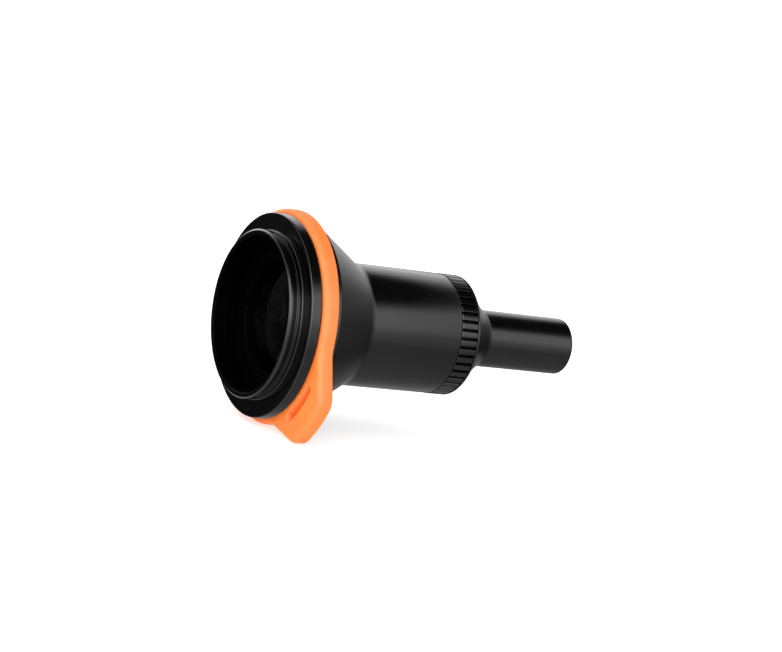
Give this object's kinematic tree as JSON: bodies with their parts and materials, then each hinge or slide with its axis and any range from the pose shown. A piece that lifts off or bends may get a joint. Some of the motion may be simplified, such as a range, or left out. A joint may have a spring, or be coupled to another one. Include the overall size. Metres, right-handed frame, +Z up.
{
  "type": "laser collimator",
  "caption": "Lens-barrel laser source with a push-in spigot, a flange, an orange lever ring, a cone, a knurled switch ring and a battery tube.",
  "frame": {"origin": "on the optical axis at the spigot's shoulder, the front face of the flange", "axes": "+X along the optical axis from the spigot to the battery tube, the beam leaves towards -X, +Z up, the thumb tab hangs down towards -Y at rest"},
  "size_m": [0.0665, 0.0415, 0.0384],
  "materials": {
    "black_anodised": "satin black anodised aluminium",
    "black_anodised_knurl": "satin black anodised aluminium, knurled",
    "matt_black_metal": "matt black anodised aluminium",
    "orange_plastic": "satin orange moulded plastic",
    "lens_glass": "clear coated optical glass",
    "steel": "plain steel",
    "brass": "turned brass",
    "gold_can": "gold-plated can",
    "circuit_board": "green circuit board",
    "seal_rubber": "black rubber",
    "white_plastic": "natural insulating plastic"
  },
  "bodies": {
    "housing": {"front_mount": "black_anodised", "lever_o_ring": "seal_rubber", "cell_guide_pin": "steel", "main_housing": "black_anodised", "housing_o_ring": "seal_rubber", "front_baffle": "matt_black_metal", "rear_baffle": "matt_black_metal", "rear_bulkhead": "black_anodised", "laser_module": "brass", "laser_diode": "gold_can", "diode_window": "lens_glass", "diode_leads": "brass", "driver_board": "circuit_board", "module_o_ring": "seal_rubber", "alignment_screws": "steel", "switch_board": "circuit_board", "detent_ball": "steel", "detent_spring": "steel", "tail_housing": "black_anodised", "tail_o_ring": "seal_rubber", "contact_bush": "white_plastic", "contact_pin": "brass", "battery_sleeve": "white_plastic", "button_cells": "steel", "battery_spring": "steel"},
    "lever": {"lever_ring": "orange_plastic", "lever_cam_pin": "steel"},
    "objective": {"objective_cell": "matt_black_metal", "crown_lens": "lens_glass", "flint_lens": "lens_glass", "objective_retainer": "matt_black_metal"},
    "switch": {"switch_ring": "black_anodised_knurl", "switch_wiper": "brass"}
  },
  "joints": [
    {"name": "lever_turn", "type": "hinge", "parent": "housing", "child": "lever", "pos_m": [0, 0, 0], "axis": [-1, 0, 0], "range_deg": [0, 60]},
    {"name": "objective_focus", "type": "slide", "parent": "housing", "child": "objective", "axis": [-1, 0, 0], "range_m": [0, 0.0012]},
    {"name": "switch_turn", "type": "hinge", "parent": "housing", "child": "switch", "pos_m": [0, 0, 0], "axis": [1, 0, 0], "range_deg": [0, 90]}
  ],
  "couplings": [
    {"joint": "lever_turn", "follows": "objective_focus", "rad_per_m": 872.66}
  ]
}
